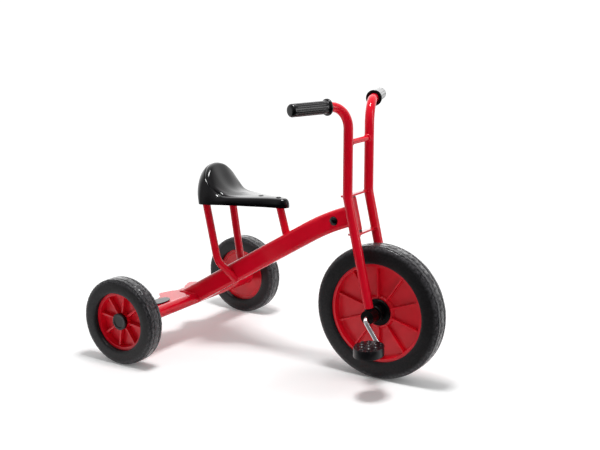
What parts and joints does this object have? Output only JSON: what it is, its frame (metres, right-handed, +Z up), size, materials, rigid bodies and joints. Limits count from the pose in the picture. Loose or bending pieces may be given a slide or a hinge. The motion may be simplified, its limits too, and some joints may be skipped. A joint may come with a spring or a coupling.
{
  "type": "child's tricycle",
  "caption": "Steel child's tricycle with pedals on the front wheel, a sloping beam, upright bars, a moulded saddle on posts and a rear step plate.",
  "frame": {"origin": "on the ground, under the middle of the length and width", "axes": "+X forward, +Y to the rider's left, +Z up"},
  "size_m": [0.784, 0.519, 0.6195],
  "materials": {
    "red_paint": "gloss powder coat",
    "red_plastic": "satin moulding",
    "black_plastic": "fine moulded grain",
    "tyre_rubber": "matt rubber",
    "black_rubber": "matt, soft to the hand",
    "chrome": "polished plating",
    "zinc_steel": "zinc plated"
  },
  "bodies": {
    "frame": {"main_beam": "red_paint", "head_tube": "red_paint", "head_bush_upper": "black_plastic", "head_bush_lower": "black_plastic", "beam_plug_left": "black_plastic", "beam_plug_right": "black_plastic", "seat_post_front": "red_paint", "seat_post_left": "red_paint", "seat_post_right": "red_paint", "saddle": "black_plastic", "rear_platform": "red_paint", "rear_cross_tube": "red_paint", "axle_tube": "red_paint", "rear_axle": "zinc_steel", "axle_bracket_left": "red_paint", "axle_bracket_right": "red_paint", "step_pad_left": "black_rubber", "step_pad_right": "black_rubber"},
    "fork": {"fork_tube_left": "red_paint", "fork_tube_right": "red_paint", "handlebar_brace": "red_paint", "steering_plate_upper": "red_paint", "steering_plate_lower": "red_paint", "steering_pin": "zinc_steel", "grip_left": "black_rubber", "grip_right": "black_rubber", "bearing_housing_left": "black_plastic", "bearing_housing_right": "black_plastic"},
    "front_wheel": {"front_tyre": "tyre_rubber", "front_disc": "red_plastic", "front_hub_left": "black_plastic", "front_hub_right": "black_plastic", "crank": "chrome"},
    "left_pedal": {"pedal_left": "black_rubber"},
    "right_pedal": {"pedal_right": "black_rubber"},
    "rear_wheel_left": {"rear_tyre_left": "tyre_rubber", "rear_disc_left": "red_plastic", "hub_cap_left": "black_plastic"},
    "rear_wheel_right": {"rear_tyre_right": "tyre_rubber", "rear_disc_right": "red_plastic", "hub_cap_right": "black_plastic"}
  },
  "joints": [
    {"name": "steering", "type": "hinge", "parent": "frame", "child": "fork", "pos_m": [0.16985, 0, 0.35857], "axis": [-0.2267, 0, 0.974], "range_deg": [-60, 60]},
    {"name": "front_wheel_spin", "type": "hinge", "parent": "fork", "child": "front_wheel", "pos_m": [0.242, 0, 0.15], "axis": [0, 1, 0], "continuous": true},
    {"name": "pedal_left_spin", "type": "hinge", "parent": "front_wheel", "child": "left_pedal", "pos_m": [0.2034, 0.1203, 0.19852], "axis": [0, 1, 0], "continuous": true},
    {"name": "pedal_right_spin", "type": "hinge", "parent": "front_wheel", "child": "right_pedal", "pos_m": [0.2806, -0.1203, 0.10148], "axis": [0, 1, 0], "continuous": true},
    {"name": "rear_wheel_left_spin", "type": "hinge", "parent": "frame", "child": "rear_wheel_left", "pos_m": [-0.292, 0.2375, 0.1], "axis": [0, 1, 0], "continuous": true},
    {"name": "rear_wheel_right_spin", "type": "hinge", "parent": "frame", "child": "rear_wheel_right", "pos_m": [-0.292, -0.2375, 0.1], "axis": [0, 1, 0], "continuous": true}
  ]
}
